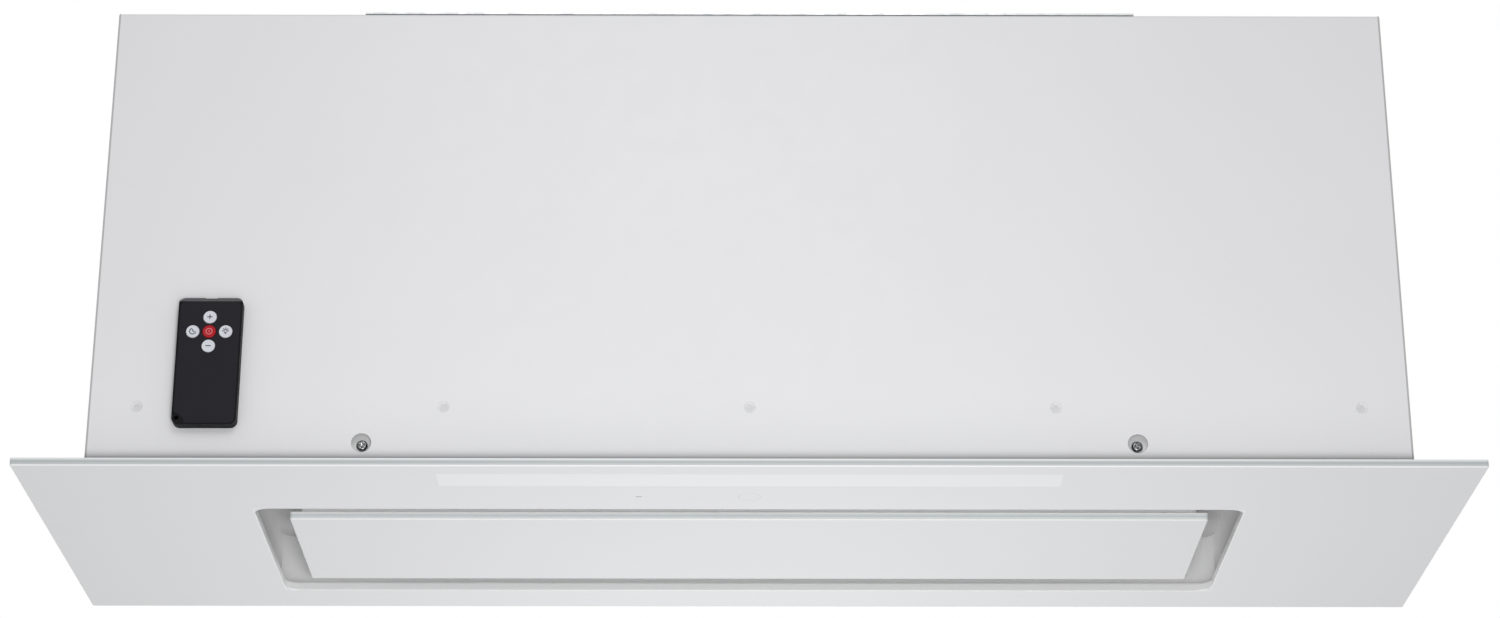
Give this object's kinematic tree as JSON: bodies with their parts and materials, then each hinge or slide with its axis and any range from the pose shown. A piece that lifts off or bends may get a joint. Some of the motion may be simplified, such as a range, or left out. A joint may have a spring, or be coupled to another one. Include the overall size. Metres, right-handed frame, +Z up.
{
  "type": "ceiling range hood",
  "caption": "Recessed ceiling range hood: white sheet-metal casing over a wide glass fascia with a hinged perimeter-suction glass panel, blower, duct spigot and remote control.",
  "frame": {"origin": "centre of the fascia glass's room-side face, which is the lowest face of the hood", "axes": "+X to the right along the fascia's long side, +Y to the rear, +Z up into the ceiling"},
  "size_m": [0.9, 0.288, 0.3572],
  "materials": {
    "casing_white": "white powder coat, satin",
    "inner_white": "white paint",
    "galvanised": "zinc coated sheet",
    "zinc_screw": "zinc plated",
    "white_glass": "white back-painted glass, polished edge",
    "opal": "opal acrylic",
    "aluminium": "satin",
    "filter_aluminium": "pleated mesh",
    "circuit": "printed board",
    "dark_plastic": "dark plastic",
    "grey_plastic": "grey moulded plastic",
    "motor_black": "black motor can",
    "magnet_nickel": "nickel plated magnet",
    "remote_black": "black moulded plastic",
    "button_white": "white button",
    "button_red": "red button"
  },
  "bodies": {
    "housing": {"front_panel": "casing_white", "rear_panel": "casing_white", "side_panel_left": "casing_white", "side_panel_right": "casing_white", "top_panel": "casing_white", "hanger_plates": "galvanised", "motor_plate": "galvanised", "plenum_floor": "inner_white", "recess_liner": "inner_white", "fascia_glass": "white_glass", "fascia_frame": "inner_white", "fascia_screws": "zinc_screw", "body_rivets": "casing_white", "cover_screws": "zinc_screw", "led_diffuser": "opal", "led_board": "circuit", "led_profile": "aluminium", "touch_sensor": "circuit", "infrared_receiver": "dark_plastic", "hinge_brackets": "galvanised", "hinge_pins": "zinc_screw", "catch_brackets": "galvanised", "catch_magnets": "magnet_nickel", "filter_frame": "aluminium", "filter_mesh": "filter_aluminium", "scroll_wrap": "galvanised", "scroll_side_left": "galvanised", "scroll_side_right": "galvanised", "inlet_ring_left": "grey_plastic", "inlet_ring_right": "grey_plastic", "motor": "motor_black", "motor_bracket": "galvanised", "outlet_transition": "galvanised", "duct_spigot": "dark_plastic", "flap_pin": "zinc_screw", "control_box": "galvanised", "control_box_lid": "galvanised", "control_board": "circuit", "terminal_block": "grey_plastic", "motor_capacitor": "grey_plastic", "cable_gland": "dark_plastic"},
    "impeller": {"impeller": "galvanised", "impeller_disc": "galvanised", "motor_shaft": "zinc_screw"},
    "damper_flap_front": {"damper_flap_front": "dark_plastic"},
    "damper_flap_rear": {"damper_flap_rear": "dark_plastic"},
    "suction_panel": {"panel_glass": "white_glass", "panel_tray": "inner_white", "catch_strikes": "galvanised"},
    "filter_latch": {"filter_latch": "dark_plastic"},
    "remote": {"remote_case": "remote_black", "remote_face": "remote_black", "remote_magnet": "magnet_nickel"},
    "battery_drawer": {"battery_drawer": "remote_black", "coin_cell": "zinc_screw"},
    "button_plus": {"button_plus": "button_white"},
    "button_minus": {"button_minus": "button_white"},
    "button_power": {"button_power": "button_red"},
    "button_timer": {"button_timer": "button_white"},
    "button_light": {"button_light": "button_white"}
  },
  "joints": [
    {"name": "impeller_spin", "type": "hinge", "parent": "housing", "child": "impeller", "pos_m": [0, -0.014, 0.172], "axis": [1, 0, 0], "continuous": true},
    {"name": "damper_front_swing", "type": "hinge", "parent": "housing", "child": "damper_flap_front", "pos_m": [0, 0.03, 0.33], "axis": [-1, 0, 0], "range_deg": [0, 75]},
    {"name": "damper_rear_swing", "type": "hinge", "parent": "housing", "child": "damper_flap_rear", "pos_m": [0, 0.03, 0.33], "axis": [1, 0, 0], "range_deg": [0, 75]},
    {"name": "suction_panel_hinge", "type": "hinge", "parent": "housing", "child": "suction_panel", "pos_m": [0, 0.088, 0.016], "axis": [1, 0, 0], "range_deg": [0, 85]},
    {"name": "filter_latch_slide", "type": "slide", "parent": "housing", "child": "filter_latch", "axis": [0, 1, 0], "range_m": [0, 0.005], "stiffness_N_per_m": 400, "springref_m": -0.002},
    {"name": "remote_pull", "type": "slide", "parent": "housing", "child": "remote", "axis": [0, -1, 0], "range_m": [0, 0.06]},
    {"name": "battery_drawer_slide", "type": "slide", "parent": "remote", "child": "battery_drawer", "axis": [0, 0, -1], "range_m": [0, 0.022]},
    {"name": "button_plus_press", "type": "slide", "parent": "remote", "child": "button_plus", "axis": [0, 1, 0], "range_m": [0, 0.0006], "stiffness_N_per_m": 500, "springref_m": -0.0005},
    {"name": "button_minus_press", "type": "slide", "parent": "remote", "child": "button_minus", "axis": [0, 1, 0], "range_m": [0, 0.0006], "stiffness_N_per_m": 500, "springref_m": -0.0005},
    {"name": "button_power_press", "type": "slide", "parent": "remote", "child": "button_power", "axis": [0, 1, 0], "range_m": [0, 0.0006], "stiffness_N_per_m": 500, "springref_m": -0.0005},
    {"name": "button_timer_press", "type": "slide", "parent": "remote", "child": "button_timer", "axis": [0, 1, 0], "range_m": [0, 0.0006], "stiffness_N_per_m": 500, "springref_m": -0.0005},
    {"name": "button_light_press", "type": "slide", "parent": "remote", "child": "button_light", "axis": [0, 1, 0], "range_m": [0, 0.0006], "stiffness_N_per_m": 500, "springref_m": -0.0005}
  ]
}
